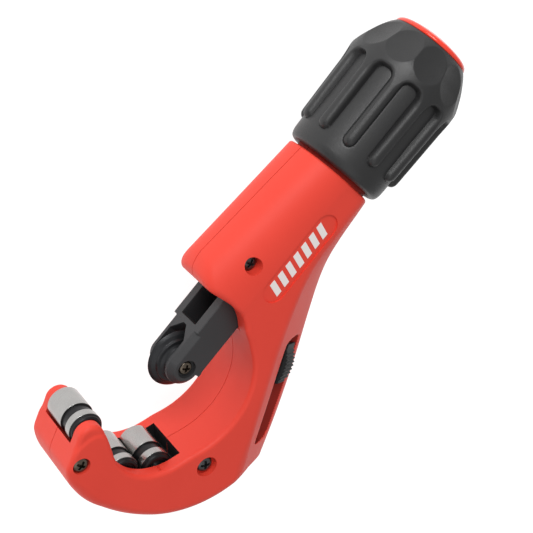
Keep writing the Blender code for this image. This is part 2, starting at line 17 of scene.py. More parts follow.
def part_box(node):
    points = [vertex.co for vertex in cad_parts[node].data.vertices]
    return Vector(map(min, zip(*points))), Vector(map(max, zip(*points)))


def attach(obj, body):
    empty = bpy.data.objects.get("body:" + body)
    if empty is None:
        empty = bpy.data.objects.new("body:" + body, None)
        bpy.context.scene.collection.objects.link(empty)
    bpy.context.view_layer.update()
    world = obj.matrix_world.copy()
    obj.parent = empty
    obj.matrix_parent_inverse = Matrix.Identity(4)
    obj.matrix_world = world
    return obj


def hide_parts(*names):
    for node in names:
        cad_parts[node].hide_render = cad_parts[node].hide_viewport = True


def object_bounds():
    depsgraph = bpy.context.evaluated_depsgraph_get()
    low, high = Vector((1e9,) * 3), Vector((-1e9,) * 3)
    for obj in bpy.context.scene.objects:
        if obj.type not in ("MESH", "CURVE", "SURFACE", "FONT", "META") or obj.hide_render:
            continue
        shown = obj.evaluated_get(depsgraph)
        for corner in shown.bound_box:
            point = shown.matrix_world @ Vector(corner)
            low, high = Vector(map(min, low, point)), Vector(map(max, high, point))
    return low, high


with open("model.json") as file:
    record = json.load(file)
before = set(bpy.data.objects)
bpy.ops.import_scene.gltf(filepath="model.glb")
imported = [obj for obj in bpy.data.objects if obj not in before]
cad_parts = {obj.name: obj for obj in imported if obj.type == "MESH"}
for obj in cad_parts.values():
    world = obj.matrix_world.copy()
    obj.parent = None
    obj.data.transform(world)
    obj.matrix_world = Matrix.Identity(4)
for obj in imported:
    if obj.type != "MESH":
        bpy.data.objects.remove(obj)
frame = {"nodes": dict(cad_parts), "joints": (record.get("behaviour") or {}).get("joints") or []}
CAD_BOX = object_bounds()
JOINTS = {joint["name"]: joint for joint in frame["joints"]}
TOOL = Vector(JOINTS["knob_turn"]["pos_m"])
MM = 0.001
SHARP_DEGREES = 35.0


def tool_mm(point):
    """A point in the frame's metres, as tool millimetres."""
    return tuple((Vector(point) - TOOL) / MM)


def node_span(node):
    """The lowest and highest corner of a CAD node, in tool millimetres."""
    low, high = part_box(node)
    return tool_mm(low), tool_mm(high)


def node_centre(node):
    low, high = node_span(node)
    return tuple((a + b) / 2 for a, b in zip(low, high))


# Meshes


def mesh_piece(name, points, faces, body, replaced, materials, sharp=SHARP_DEGREES):
    """A smooth-shaded mesh from points in tool millimetres, riding on a body in place of some CAD nodes."""
    mesh = bpy.data.meshes.new(name)
    world = np.asarray(points, float) * MM + np.array(TOOL)
    mesh.from_pydata(world.tolist(), [], faces if isinstance(faces, list) else faces.tolist())
    mesh.validate()
    mesh.polygons.foreach_set("use_smooth", [True] * len(mesh.polygons))
    mesh.set_sharp_from_angle(angle=math.radians(sharp))
    obj = bpy.data.objects.new(name, mesh)
    bpy.context.scene.collection.objects.link(obj)
    for material in materials:
        mesh.materials.append(material)
    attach(obj, body)
    if replaced:
        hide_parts(*replaced)
    return obj


def field_slope(field, x, y, z, reach):
    """The unit slope of a field at some points."""
    slope = np.stack(
        [
            field(x + reach, y, z) - field(x - reach, y, z),
            field(x, y + reach, z) - field(x, y - reach, z),
            field(x, y, z + reach) - field(x, y, z - reach),
        ],
        axis=1,
    )
    return slope / np.maximum(np.linalg.norm(slope, axis=1, keepdims=True), 1e-9)


def edge_crossings(field, axes, values, axis):
    """Where the surface crosses the grid's edges along one axis: cell, point and whether it leaves."""
    inside = values < 0
    low = [slice(None)] * 3
    high = [slice(None)] * 3
    low[axis] = slice(None, -1)
    high[axis] = slice(1, None)
    change = inside[tuple(low)] != inside[tuple(high)]
    index = np.argwhere(change)
    start = np.stack([axes[k][index[:, k]] for k in range(3)], axis=1)
    step = axes[axis][1] - axes[axis][0]
    end = start.copy()
    end[:, axis] += step
    at_start = values[tuple(low)][change]
    at_end = values[tuple(high)][change]
    for _ in range(4):
        share = np.clip(at_start / (at_start - at_end), 0.02, 0.98)
        middle = start + (end - start) * share[:, None]
        at_middle = field(*middle.T)
        same = (at_middle < 0) == (at_start < 0)
        start[same], at_start[same] = middle[same], at_middle[same]
        end[~same], at_end[~same] = middle[~same], at_middle[~same]
    share = at_start / np.where(at_start == at_end, 1, at_start - at_end)
    return index, start + (end - start) * np.clip(share, 0, 1)[:, None], inside[tuple(low)][change]


def corner_points(cells, points, slopes, low, step):
    """One point for each cell: where the planes through its crossings meet, kept inside the cell."""
    keys, first, inverse = np.unique(cells, axis=0, return_index=True, return_inverse=True)
    inverse = inverse.reshape(-1)
    count = np.bincount(inverse).astype(float)
    middle = np.stack([np.bincount(inverse, points[:, k]) / count for k in range(3)], axis=1)
    offset = np.einsum("ij,ij->i", slopes, points - middle[inverse])
    matrix = np.empty((len(keys), 3, 3))
    vector = np.empty((len(keys), 3))
    for i in range(3):
        vector[:, i] = np.bincount(inverse, slopes[:, i] * offset)
        for j in range(3):
            matrix[:, i, j] = np.bincount(inverse, slopes[:, i] * slopes[:, j])
    matrix += 0.012 * np.eye(3)
    moved = middle + np.linalg.solve(matrix, vector[:, :, None])[:, :, 0]
    floor = low + keys * step
    return keys, inverse, np.clip(moved, floor, floor + step)


def contour(field, low, high, step):
    """Dual contouring: points and quads of the surface where the field is 0, with its sharp edges."""
    low = np.asarray(low, float)
    size = np.ceil((np.asarray(high, float) - low) / step).astype(int) + 1
    axes = [low[k] + step * np.arange(size[k]) for k in range(3)]
    values = field(axes[0][:, None, None], axes[1][None, :, None], axes[2][None, None, :])
    values = np.ascontiguousarray(np.broadcast_to(values, tuple(size)))
    corners, points, slopes, turns = [], [], [], []
    for axis in range(3):
        index, point, leaves = edge_crossings(field, axes, values, axis)
        slope = field_slope(field, *point.T, 0.02 * step)
        u, v = (axis + 1) % 3, (axis + 2) % 3
        around = np.repeat(index[:, None, :], 4, axis=1)
        around[:, (1, 2), u] -= 1
        around[:, (2, 3), v] -= 1
        corners.append(around)
        points.append(point)
        slopes.append(slope)
        turns.append(leaves)
    corners = np.concatenate(corners)
    keys, inverse, moved = corner_points(
        corners.reshape(-1, 3),
        np.repeat(np.concatenate(points), 4, axis=0),
        np.repeat(np.concatenate(slopes), 4, axis=0),
        low,
        step,
    )
    quads = inverse.reshape(-1, 4)
    leaves = np.concatenate(turns)
    quads[~leaves] = quads[~leaves][:, ::-1]
    return moved, quads


def contour_piece(name, field, low, high, step, body, node, materials):
    """The surface of a field, in place of one CAD node."""
    points, faces = contour(field, low, high, step)
    return mesh_piece(name, points, faces, body, (node,), materials)


def round_corners(profile, steps=4):
    """(along, radius, rounding) points as (along, radius) points with the corners rounded."""
    made = []
    count = len(profile)
    for i, (a, r, size) in enumerate(profile):
        here = np.array((a, r))
        if size <= 0 or i in (0, count - 1):
            made.append((a, r))
            continue
        before = np.array(profile[i - 1][:2]) - here
        after = np.array(profile[i + 1][:2]) - here
        size = min(size, 0.49 * np.linalg.norm(before), 0.49 * np.linalg.norm(after))
        start = here + before / np.linalg.norm(before) * size
        end = here + after / np.linalg.norm(after) * size
        for k in range(steps + 1):
            t = k / steps
            point = (1 - t) ** 2 * start + 2 * t * (1 - t) * here + t * t * end
            made.append(tuple(point))
    return made


def rings_to_quads(count, steps, closed):
    """The quads between rings of points. Closed joins the last ring to the first."""
    ring = np.arange(steps)
    nearby = (ring + 1) % steps
    quads = []
    for i in range(count if closed else count - 1):
        low, high = i * steps, (i + 1) % count * steps
        quads.append(np.stack([low + ring, low + nearby, high + nearby, high + ring], axis=1))
    return np.concatenate(quads)


def turned(name, profile, centre, axis, body, node, materials, steps=96, zone=None):
    """A solid of revolution in place of one CAD node.

    The profile's points are (along, radius, rounding). zone gives a face its material from its height and
    radius.
    """
    line = round_corners(profile)
    along = np.array(axis, float)
    out = np.array((1.0, 0, 0)) if abs(along[0]) < 0.5 else np.array((0, 1.0, 0))
    side = np.cross(along, out)
    turns = np.arange(steps) * math.tau / steps
    spokes = np.cos(turns)[:, None] * out + np.sin(turns)[:, None] * side
    points = [np.array(centre) + a * along + r * spokes for a, r in line]
    faces = rings_to_quads(len(line), steps, False)
    obj = mesh_piece(name, np.concatenate(points), faces, body, (node,), materials)
    bm = bmesh.new()
    bm.from_mesh(obj.data)
    bmesh.ops.remove_doubles(bm, verts=bm.verts, dist=1e-7)
    bmesh.ops.recalc_face_normals(bm, faces=bm.faces)
    bm.to_mesh(obj.data)
    bm.free()
    if zone:
        for face in obj.data.polygons:
            middle = (np.array(face.center) - np.array(TOOL)) / MM - np.array(centre)
            height = float(middle @ along)
            radius = float(np.linalg.norm(middle - height * along))
            face.material_index = zone(height, radius)
    return obj


# Shapes as fields: negative inside, in millimetres


def smooth_step(x, low, high):
    t = np.clip((x - low) / (high - low), 0.0, 1.0)
    return t * t * (3 - 2 * t)


def round_and(a, b, radius):
    """Both shapes, with the edge between them rounded."""
    inner = np.minimum(np.maximum(a + radius, b + radius), 0) - radius
    outer = np.sqrt(np.maximum(a + radius, 0) ** 2 + np.maximum(b + radius, 0) ** 2)
    return np.where(np.maximum(a, b) < -radius, np.maximum(a, b), inner + outer)


def box_field(x, y, z, low, high, radius=0.0):
    """A box with rounded edges."""
    parts = []
    for value, a, b in zip((x, y, z), low, high):
        parts.append(np.abs(value - (a + b) / 2) - (b - a) / 2 + radius)
    outside = np.sqrt(sum(np.maximum(p, 0) ** 2 for p in parts))
    inside = np.minimum(np.maximum(np.maximum(parts[0], parts[1]), parts[2]), 0)
    return outside + inside - radius


def rod_field(distance, along, low, high, radius, edge=0.0):
    """A cylinder, from the distance to its axis and the place along it."""
    return round_and(distance - radius, np.abs(along - (low + high) / 2) - (high - low) / 2, edge)


def outline_field(x, y, points):
    """The signed distance to a closed outline."""
    corners = np.asarray(points, float)
    best = np.full(np.broadcast(x, y).shape, np.inf)
    crossings = np.zeros(best.shape, bool)
    for (ax, ay), (bx, by) in zip(corners, np.roll(corners, -1, axis=0)):
        ex, ey = bx - ax, by - ay
        px, py = x - ax, y - ay
        t = np.clip((px * ex + py * ey) / (ex * ex + ey * ey + 1e-12), 0, 1)
        best = np.minimum(best, (px - t * ex) ** 2 + (py - t * ey) ** 2)
        if ay != by:
            crossings ^= ((ay > y) != (by > y)) & (x < ex * (y - ay) / (by - ay) + ax)
    return np.where(crossings, -1, 1) * np.sqrt(best)


def smooth_between(x, xs, ys):
    """A smooth curve y(x) through some stations, xs rising."""
    xs, ys = np.asarray(xs, float), np.asarray(ys, float)
    slopes = np.gradient(ys, xs)
    k = np.clip(np.searchsorted(xs, x) - 1, 0, len(xs) - 2)
    width = xs[k + 1] - xs[k]
    t = np.clip((x - xs[k]) / width, 0, 1)
    h00, h10 = (1 + 2 * t) * (1 - t) ** 2, t * (1 - t) ** 2
    h01, h11 = t * t * (3 - 2 * t), t * t * (t - 1)
    return h00 * ys[k] + h10 * width * slopes[k] + h01 * ys[k + 1] + h11 * width * slopes[k + 1]


# The body's driving dimensions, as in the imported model

CHEEK = node_span("body_shell_near")[1][2]
BARREL_R = 16.8
BARREL_TOP = -2.2
BARREL_SHOULDER = math.sqrt(BARREL_R**2 - CHEEK**2)
SEAM = 0.13
FRONT_R = 17.2
FRONT_TAPER = 0.1225
FRONT_POWER = 2.4
FRONT_END = -62.5
NECK_R = 14.8
NECK_TOP = 6.2
NOSE_ROUND = 2.5
JAW_C = (-94.5, 2.0)
JAW_R = 29.0
SLOT_HALF = 10.15
PIN_BORE_R = 1.6
ROLLERS = {key: node_centre("roller_pin_" + key) for key in ("tip", "middle", "rear")}
WHEEL_C = tool_mm(JOINTS["wheel_spin"]["pos_m"])
BACK_L = (-150.0, -107.5, -82.7, -61.9, -46.0, -31.0, -16.0, -2.9)
BACK_CREASE = (-70.7, -46.3, -32.2, -20.8, -13.4, -8.2, -7.0, -6.9)
BACK_NOSE = (-88.0, -67.2, -55.9, -45.0, -35.7, -27.3, -20.4, -16.8)
REAM_ANGLE = math.radians(28.8)
REAM_AT = (-57.1, -29.2)
REAM_LENGTH = 45.0
MARK_C = (-32.65, -1.2)
RECESS_LONG = 37.7
RECESS_R = 5.0
RECESS_DEEP = 0.6
# Each body screw: the head's seat, radius and height, its counterbore's radius and its cross's turn
SCREWS = {
    "upper": (9.6, 2.8, 2.0, 3.2, 0.2),
    "rear": (12.5, 3.15, 2.0, 4.1, 0.75),
    "tip": (12.9, 3.0, 2.3, 3.2, 0.15),
}
SCREW_AT = {key: node_centre("body_screw_" + key)[:2] for key in SCREWS}


def arc(first, through, last, steps):
    """Points on the circle through three points, without the last one."""
    (ax, ay), (bx, by), (cx, cy) = first, through, last
    d = 2 * (ax * (by - cy) + bx * (cy - ay) + cx * (ay - by))
    a2, b2, c2 = ax * ax + ay * ay, bx * bx + by * by, cx * cx + cy * cy
    ux = (a2 * (by - cy) + b2 * (cy - ay) + c2 * (ay - by)) / d
    uy = (a2 * (cx - bx) + b2 * (ax - cx) + c2 * (bx - ax)) / d
    radius = math.hypot(ax - ux, ay - uy)
    start, middle, end = (math.atan2(y - uy, x - ux) for x, y in (first, through, last))
    sweep = (end - start) % math.tau
    if (middle - start) % math.tau > sweep:
        sweep -= math.tau
    turns = [start + sweep * i / steps for i in range(steps)]
    return [(ux + radius * math.cos(t), uy + radius * math.sin(t)) for t in turns]


def softened(points, spacing, width):
    """A closed outline with its points evenly spaced and its corners softened over a width."""
    corners = np.asarray([*points, points[0]], float)
    lengths = np.hypot(*np.diff(corners, axis=0).T)
    along = np.concatenate([[0], np.cumsum(lengths)])
    count = int(along[-1] / spacing)
    at = np.arange(count) * along[-1] / count
    line = np.stack([np.interp(at, along, corners[:, k]) for k in range(2)], axis=1)
    reach = int(3 * width / spacing)
    weights = np.exp(-0.5 * (np.arange(-reach, reach + 1) * spacing / width) ** 2)
    weights /= weights.sum()
    return sum(w * np.roll(line, k, axis=0) for w, k in zip(weights, range(-reach, reach + 1)))


def body_outline():
    """The body seen from its cheek: outer curve, tip, ear, jaw and the barrel's lower end."""
    points = [(30.0, -100.0), (-86.0, -100.0), (-100.9, -66.5), (-105.2, -58.1)]
    points += arc((-107.2, -54.4), (-109.3, -52.0), (-112.0, -50.4), 6)
    points += arc((-112.0, -50.4), (-126.9, -42.1), (-138.4, -27.1), 20)
    points += arc((-138.4, -27.1), (-142.3, -16.0), (-144.2, -4.0), 10)
    points += arc((-144.2, -4.0), (-144.5, 4.0), (-143.0, 11.2), 8)
    points += arc((-143.0, 11.2), (-140.5, 17.4), (-137.6, 21.0), 5)
    points += [(-137.6, 21.0), (-135.3, 22.0), (-129.5, 24.2)]
    points += arc((-127.0, 25.1), (-119.6, 24.1), (-119.3, 18.9), 8)
    points += arc((-119.4, 18.9), (-121.6, 14.6), (-124.6, 9.6), 4)
    points += arc((-124.6, 9.6), (-128.2, -1.5), (-122.5, -14.6), 14)
    points += arc((-120.4, -16.6), (-116.0, -19.2), (-110.4, -21.6), 4)
    angles = np.radians(np.arange(236, 327, 3.0))
    points += [(JAW_C[0] + JAW_R * math.cos(t), JAW_C[1] + JAW_R * math.sin(t)) for t in angles]
    points += [(-66.6, -8.0), (-65.0, -4.6), (-62.3, -1.0), (-60.4, 3.0), (-59.8, 9.0)]
    points += arc((-60.8, 17.4), (-58.8, 21.4), (-55.0, 23.8), 6)
    points += [(-53.0, 26.0), (-48.0, 40.0), (30.0, 40.0)]
    outline = softened(points, 0.8, 0.9)
    keep = (outline[:, 0] < -45) & (outline[:, 1] > -80) & (outline[:, 1] < 30)
    return [(30.0, -80.0), (30.0, 40.0), *[tuple(p) for p in roll_to_end(outline, keep)]][::-1]


def roll_to_end(points, keep):
    """The kept run of a closed outline, in order."""
    start = int(np.flatnonzero(keep & ~np.roll(keep, 1))[0])
    turned_round = np.roll(points, -start, axis=0)
    return turned_round[np.roll(keep, -start)][::-1]


OUTLINE = body_outline()
# The front of the near and far ear, which sits a little lower than the cheek
EAR_STRIP = [
    (-142.0, 26.0), (-132.5, 23.9), (-128.7, 23.2), (-124.9, 22.5), (-122.4, 21.2), (-121.1, 19.2),
    (-120.6, 16.5), (-116.0, 15.0), (-116.0, 32.0), (-142.0, 32.0),
]


def back_field(x, y, w):
    """The back of the barrel and the bevel it runs out into, down to the nose."""
    crease = smooth_between(np.clip(x, BACK_L[0], BACK_L[-1]), BACK_L, BACK_CREASE)
    nose = smooth_between(np.clip(x, BACK_L[0], BACK_L[-1]), BACK_L, BACK_NOSE)
    reach = math.hypot(CHEEK, NOSE_ROUND) - NOSE_ROUND
    ridge = np.sqrt(w * w + NOSE_ROUND**2)
    bevel = 1 - (ridge - NOSE_ROUND) / reach
    inner = np.sqrt(np.maximum(BARREL_R**2 - w * w, 1.0))
    arch = (inner - BARREL_SHOULDER) / (BARREL_R - BARREL_SHOULDER)
    share = smooth_step(-x, 3.0, 44.0)
    surface = crease + (nose - crease) * (arch + (bevel - arch) * share)
    fall = (1 - share) / (inner * (BARREL_R - BARREL_SHOULDER)) + share / (ridge * reach)
    slope = (crease - nose) * w * fall
    return (surface - y) / np.sqrt(1 + slope**2)


def front_field(x, y, w):
    """The front of the barrel: a squared-off round that widens towards the jaw."""
    reach = FRONT_R - FRONT_TAPER * np.minimum(x, 0)
    top = CHEEK + 0.1
    n = FRONT_POWER
    f = np.maximum(y, 0) / reach
    c = np.abs(w) / top
    total = np.maximum(f**n + c**n, 1e-6)
    size = total ** (1 / n)
    slope = size ** (1 - n) * np.sqrt((f ** (n - 1) / reach) ** 2 + (c ** (n - 1) / top) ** 2)
    return np.where(x > FRONT_END, (size - 1) / np.maximum(slope, 0.02), -30.0)


def shell_core(x, y, w):
    """The body without its hollows."""
    outline = outline_field(x, y, OUTLINE)
    from_jaw = np.hypot(x - JAW_C[0], y - JAW_C[1])
    outer = smooth_step(from_jaw, 36, 43) * (1 - smooth_step(y, 8, 24)) * smooth_step(-x, 84, 100)
    lip = smooth_step(y, 6, 14) * smooth_step(x, -68, -62)
    edge = 1.7 + 2.6 * outer + 1.3 * lip
    strip = outline_field(x, y, EAR_STRIP)
    cheek = w - CHEEK + 0.6 * (1 - smooth_step(strip, -0.8, 0.8))
    plate = round_and(outline, np.maximum(cheek, front_field(x, y, w)), edge)
    body = round_and(plate, back_field(x, y, w), 0.8 + 0.8 * smooth_step(-x, 94, 106))
    body = round_and(body, x - BARREL_TOP, 0.9)
    neck = rod_field(np.hypot(y, w), x, BARREL_TOP - 3, NECK_TOP, NECK_R, 0.4)
    return np.minimum(body, neck)


def pocket_field(x, y, w):
    """The pocket behind the two inner rollers, open to the jaw."""
    points = [(-108.6, -13.7), (-118.7, -25.0)]
    points += arc((-123.4, -25.2), (-127.5, -23.0), (-129.9, -20.0), 8)
    points += arc((-137.0, -9.8), (-138.2, -5.0), (-135.4, 1.2), 8)
    points += [(-133.5, 2.6), (-119.0, 10.0)]
    return np.maximum(outline_field(x, y, points), w - SLOT_HALF)


def tip_slot_field(x, y, w):
    """The slot between the ears: half round behind the tip roller, then open."""
    l, f, _ = ROLLERS["tip"]
    reach = 7.0
    points = arc((l, f - reach), (l - reach, f), (l, f + reach), 24)
    points += [(l, f + reach), (l + 14, f + reach), (l + 14, f - reach - 3)]
    return np.maximum(outline_field(x, y, points), w - SLOT_HALF)


def ream_frame(x, y):
    """Distance down the reamer's slot and distance out of the back."""
    c, s = math.cos(REAM_ANGLE), math.sin(REAM_ANGLE)
    dx, dy = x - REAM_AT[0], y - REAM_AT[1]
    return -c * dx - s * dy, s * dx - c * dy


def ream_mouth_field(x, y, w):
    """The slot that the thumb pad slides in."""
    along, out = ream_frame(x, y)
    return box_field(along, out, w, (0.0, -9.0, 4.4), (REAM_LENGTH, 30, 11.3), 2.6)


def carriage_channel_field(x, y, w):
    """The square channel that the carriage slides in."""
    return box_field(x, y, w, (-74, -5.9, -8.9), (-5, 8.9, 8.9), 0.2)


def common_hollows(x, y, w):
    """What both shells lose: channel, lip notches, spindle bores, roller pocket, tip slot and pin bores."""
    axis = np.hypot(y, w)
    found = [
        carriage_channel_field(x, y, w),
        rod_field(np.hypot(y + 5.6, w - 8.5), x, -74, -50, 0.9),
        box_field(x, y, w, (-74, -10.6, -2.9), (-57, 15.9, 2.9), 0.2),
        rod_field(axis, x, -1.6, 4.7, 9.3),
        rod_field(axis, x, -8.0, 2.0, 3.6),
        rod_field(axis, x, 3.0, 9.0, 4.7),
        pocket_field(x, y, w),
        tip_slot_field(x, y, w),
    ]
    for l, f, _ in ROLLERS.values():
        found.append(rod_field(np.hypot(x - l, y - f), w, -13.4, 13.4, PIN_BORE_R))
    for l, f in SCREW_AT.values():
        found.append(rod_field(np.hypot(x - l, y - f), w, -5, 11.5, PIN_BORE_R))
    return found


def recess_field(x, y, w):
    """The stadium-shaped recess for the mark."""
    past_round = np.maximum(np.abs(x - MARK_C[0]) - (RECESS_LONG / 2 - RECESS_R), 0)
    stadium = np.hypot(past_round, y - MARK_C[1]) - RECESS_R
    return np.maximum(stadium, CHEEK - RECESS_DEEP - w)


def near_shell(x, y, w):
    """The shell with the screw heads and the reamer's slot."""
    body = shell_core(x, y, w)
    along, out = ream_frame(x, y)
    ream_channel = box_field(along, out, w, (2.0, -6.0, -3), (70, -1.0, 8.0), 0.2)
    cuts = [*common_hollows(x, y, w), recess_field(x, y, w), ream_channel]
    for key, (seat, _, _, bore, _) in SCREWS.items():
        l, f = SCREW_AT[key]
        cuts.append(rod_field(np.hypot(x - l, y - f), w, seat, 25, bore))
    for cut in cuts:
        body = np.maximum(body, -cut)
    body = round_and(body, -ream_mouth_field(x, y, w), 0.4)
    return np.maximum(body, SEAM - w)


def far_shell(x, y, w):
    """The mirrored shell."""
    body = shell_core(x, y, -w)
    for cut in (*common_hollows(x, y, -w), recess_field(x, y, -w)):
        body = np.maximum(body, -cut)
    return np.maximum(body, w + SEAM)


# Materials


def nodes_of(name):
    """A new material with its node tree and its shader."""
    material = bpy.data.materials.new(name)
    material.use_nodes = True
    tree = material.node_tree
    shader = tree.nodes["Principled BSDF"]
    return material, tree, shader


def noise(tree, coords, scale, detail=4.0, rough=0.6):
    node = tree.nodes.new("ShaderNodeTexNoise")
    node.inputs["Scale"].default_value = scale
    node.inputs["Detail"].default_value = detail
    node.inputs["Roughness"].default_value = rough
    tree.links.new(coords, node.inputs["Vector"])
    return node.outputs["Fac"]


def spread(tree, value, to_low, to_high):
    """The middle of a noise's range, stretched over another range."""
    node = tree.nodes.new("ShaderNodeMapRange")
    node.inputs["From Min"].default_value = 0.3
    node.inputs["From Max"].default_value = 0.7
    node.inputs["To Min"].default_value = to_low
    node.inputs["To Max"].default_value = to_high
    tree.links.new(value, node.inputs["Value"])
    return node.outputs["Result"]


def mix_colour(tree, share, first, second):
    node = tree.nodes.new("ShaderNodeMix")
    node.data_type = "RGBA"
    node.inputs["A"].default_value = (*first, 1)
    node.inputs["B"].default_value = (*second, 1)
    tree.links.new(share, node.inputs["Factor"])
    return node.outputs["Result"]


def bump(tree, height, strength, distance):
    node = tree.nodes.new("ShaderNodeBump")
    node.inputs["Strength"].default_value = strength
    node.inputs["Distance"].default_value = distance
    tree.links.new(height, node.inputs["Height"])
    return node.outputs["Normal"]


def moulded(name, dark, light, rough, grain, depth, specular=0.5, coat=0.0):
    """Moulded or powder-coated surface: fine grain, faint cloudiness and a roughness that varies."""
    material, tree, shader = nodes_of(name)
    coords = tree.nodes.new("ShaderNodeTexCoord").outputs["Object"]
    fine = noise(tree, coords, grain, 5.0, 0.65)
    broad = noise(tree, coords, 60.0, 3.0, 0.5)
    tree.links.new(mix_colour(tree, broad, dark, light), shader.inputs["Base Color"])
    tree.links.new(spread(tree, fine, rough - 0.05, rough + 0.07), shader.inputs["Roughness"])
    tree.links.new(bump(tree, fine, 0.35, depth), shader.inputs["Normal"])
    shader.inputs["Specular IOR Level"].default_value = specular
    shader.inputs["Coat Weight"].default_value = coat
    return material


def metal(name, dark, light, rough, metallic, scale, lines=(1, 1, 1)):
    """Ground or machined metal, with fine scratches along or round the piece."""
    material, tree, shader = nodes_of(name)
    coords = tree.nodes.new("ShaderNodeTexCoord").outputs["Object"]
    mapping = tree.nodes.new("ShaderNodeMapping")
    mapping.inputs["Scale"].default_value = lines
    tree.links.new(coords, mapping.inputs["Vector"])
    scratch = noise(tree, mapping.outputs["Vector"], scale, 6.0, 0.7)
    stain = noise(tree, coords, 250.0, 3.0, 0.5)
    tree.links.new(mix_colour(tree, stain, dark, light), shader.inputs["Base Color"])
    tree.links.new(spread(tree, scratch, rough - 0.06, rough + 0.1), shader.inputs["Roughness"])
    tree.links.new(bump(tree, scratch, 0.15, 0.00003), shader.inputs["Normal"])
    shader.inputs["Metallic"].default_value = metallic
    return material


RED = moulded("red_body", (0.76, 0.054, 0.032), (0.83, 0.062, 0.038), 0.5, 2600.0, 0.0001, 0.3)
# Darker red painted shade for the neck, the carriage's channel and the reamer's slot.
RED_PAINTED_SHADE = moulded("red_shaded", (0.22, 0.012, 0.007), (0.30, 0.016, 0.009), 0.6, 2600.0, 0.00006, 0.15)
RED_CAP = moulded("red_gloss", (0.84, 0.045, 0.018), (0.88, 0.05, 0.022), 0.14, 900.0, 0.00001, 0.4, 0.25)
# Black painted shade, put on the roller pocket's walls.
BLACK_PAINTED_SHADE = moulded("black_painted_shade", (0.012, 0.012, 0.013), (0.02, 0.02, 0.021), 0.5, 2000.0, 0.00004)
CHARCOAL = moulded("charcoal_grip", (0.01, 0.01, 0.0105), (0.017, 0.017, 0.0175), 0.43, 2200.0, 0.00016, 0.6)
CARBON = moulded("charcoal_cast", (0.026, 0.026, 0.028), (0.034, 0.034, 0.036), 0.46, 3000.0, 0.00006)
PAD = moulded("black_pad", (0.007, 0.007, 0.008), (0.013, 0.013, 0.014), 0.55, 2200.0, 0.0001, 0.25)
WHITE = moulded("white_print", (0.86, 0.80, 0.78), (0.90, 0.84, 0.82), 0.5, 2600.0, 0.00003)
BLACK = metal("black_oxide", (0.012, 0.012, 0.013), (0.022, 0.022, 0.024), 0.34, 0.6, 3000.0)
BLACK_WHEEL = metal("hardened_wheel", (0.018, 0.019, 0.021), (0.03, 0.031, 0.034), 0.32, 0.5, 4000.0)
WARM_SCREW = metal("screw_bronze", (0.10, 0.08, 0.06), (0.20, 0.165, 0.13), 0.24, 0.95, 2600.0)
SCREW = metal("screw_steel", (0.07, 0.07, 0.072), (0.13, 0.13, 0.132), 0.28, 0.9, 2600.0)
STEEL = metal("ground_steel", (0.36, 0.355, 0.345), (0.47, 0.465, 0.455), 0.24, 1.0, 900.0, (3, 3, 60))
DULL_STEEL = metal("plain_steel", (0.42, 0.42, 0.42), (0.55, 0.55, 0.54), 0.34, 1.0, 1500.0)
BRASS = metal("brass", (0.52, 0.36, 0.13), (0.62, 0.44, 0.18), 0.32, 1.0, 1200.0)


# Pieces

SKIN = 0.12


def shade_hollows(obj):
    """Painted shade: black on the roller pocket's walls, darker red on the neck, the channel and the reamer's
    slot.
    """
    centres = np.empty(len(obj.data.polygons) * 3)
    obj.data.polygons.foreach_get("center", centres)
    x, y, w = ((centres.reshape(-1, 3) - np.array(TOOL)) / MM).T
    # Painted shade: the roller pocket's walls turn black.
    pocket_shade = np.abs(pocket_field(x, y, np.abs(w))) < SKIN
    # Painted shade: darker red on the neck, on the channel towards the knob and on the reamer's slot below the
    # bevel.
    neck = x > BARREL_TOP + 0.15
    channel = (np.abs(carriage_channel_field(x, y, w)) < SKIN) & (x > -60.5)
    below_bevel = back_field(x, y, w) < -0.35
    slot = (w > 2.0) & (ream_mouth_field(x, y, w) < 0.15) & (ream_frame(x, y)[1] > -9.2) & below_bevel
    index = np.where(pocket_shade, 1, np.where(neck | channel | slot, 2, 0))
    obj.data.polygons.foreach_set("material_index", index.astype(np.int32))


def shells():
    for name, field, node, low, high in (
        ("near_shell", near_shell, "body_shell_near", -0.6, 16.2),
        ("far_shell", far_shell, "body_shell_far", -16.2, 0.6),
    ):
        obj = contour_piece(
            name, field, (-147.5, -68.0, low), (7.5, 28.5, high), 0.5, "housing", node,
            (RED, BLACK_PAINTED_SHADE, RED_PAINTED_SHADE),
        )
        shade_hollows(obj)


MARK_BARS = 7
BAR_WIDE = 2.5
BAR_HIGH = 6.0
BAR_PITCH = 4.25
BAR_LEAN = 1.6
BAR_START = -47.2


def printed_mark():
    """A generic mark in the recess: slanted bars in white."""
    corners, faces = [], []
    for i in range(MARK_BARS):
        left = BAR_START + i * BAR_PITCH
        first = len(corners)
        for level in (CHEEK - 0.62, CHEEK - 0.50):
            for l, f in ((0, -0.5), (BAR_WIDE, -0.5), (BAR_WIDE, 0.5), (0, 0.5)):
                corners.append((left + l + BAR_LEAN * f, MARK_C[1] + BAR_HIGH * f, level))
        box = [(3, 2, 1, 0), (4, 5, 6, 7), (0, 1, 5, 4), (1, 2, 6, 5), (2, 3, 7, 6), (3, 0, 4, 7)]
        faces += [tuple(first + k for k in face) for face in box]
    mesh_piece("printed_mark", corners, faces, "housing", (), (WHITE,))


def driver_recess(x, y, top, z, arm, thick, deep):
    """The cross in a screw head, narrowing as it goes down."""
    taper = 0.35 * (top - z)
    a = np.maximum(np.abs(x) - arm + taper, np.abs(y) - thick + 0.3 * taper)
    b = np.maximum(np.abs(y) - arm + taper, np.abs(x) - thick + 0.3 * taper)
    return np.maximum(np.minimum(a, b), top - deep - z)


